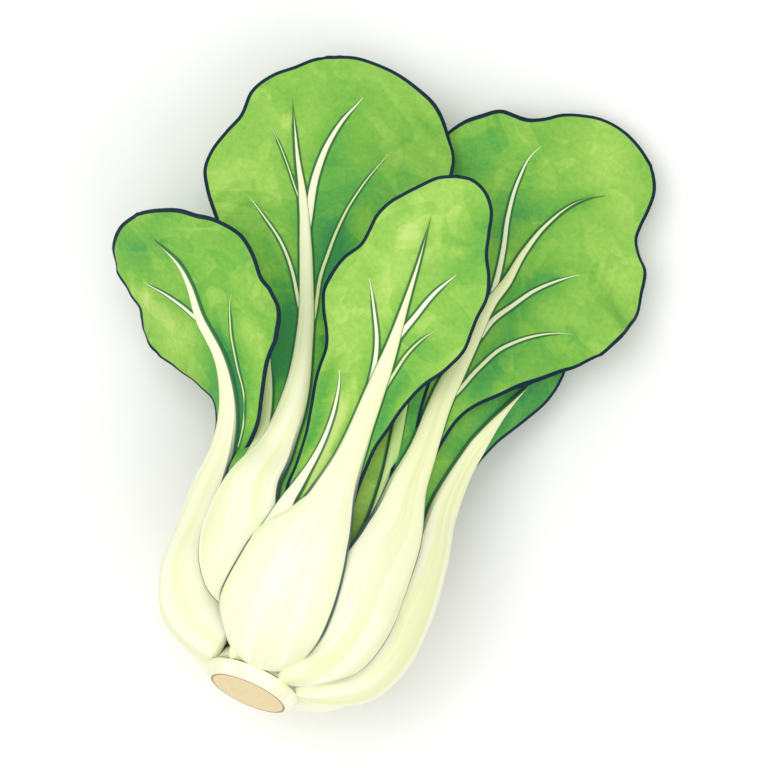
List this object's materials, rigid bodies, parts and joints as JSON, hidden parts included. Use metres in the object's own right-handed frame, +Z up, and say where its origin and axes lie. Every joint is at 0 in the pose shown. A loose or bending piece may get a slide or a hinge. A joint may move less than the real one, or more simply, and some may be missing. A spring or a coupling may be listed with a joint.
{
  "type": "bok choy",
  "caption": "Head of bok choy lying down: plump white stalks packed round a trimmed stem, each opening into a spoon-shaped green blade with a pale rib and forked veins.",
  "frame": {"origin": "on the table, under the middle of the laid head's outline", "axes": "+Y along the head from the cut stem to the leaf tips, +Z up from the table towards the front leaf, +X towards the low right leaf"},
  "size_m": [0.1942, 0.2544, 0.1003],
  "materials": {
    "white_stalk": "waxy satin, cream white with pale yellow-green streaks along it",
    "green_blade": "soft satin, fresh green, darker beside the ribs and mottled",
    "cut_stem": "smooth cream collar, dry tan cut face"
  },
  "bodies": {
    "root": {"stem": "cut_stem", "stalk_front": "white_stalk", "blade_front": "green_blade", "stalk_tall": "white_stalk", "blade_tall": "green_blade", "stalk_left": "white_stalk", "blade_left": "green_blade", "stalk_right": "white_stalk", "blade_right": "green_blade", "stalk_low_right": "white_stalk", "blade_low_right": "green_blade", "stalk_under_middle": "white_stalk", "blade_under_middle": "green_blade", "stalk_under_left": "white_stalk", "blade_under_left": "green_blade", "stalk_under_right": "white_stalk", "blade_under_right": "green_blade", "stalk_inner_left": "white_stalk", "blade_inner_left": "green_blade", "stalk_inner_right": "white_stalk", "blade_inner_right": "green_blade", "stalk_heart_left": "white_stalk", "blade_heart_left": "green_blade", "stalk_heart_right": "white_stalk", "blade_heart_right": "green_blade"}
  },
  "joints": []
}
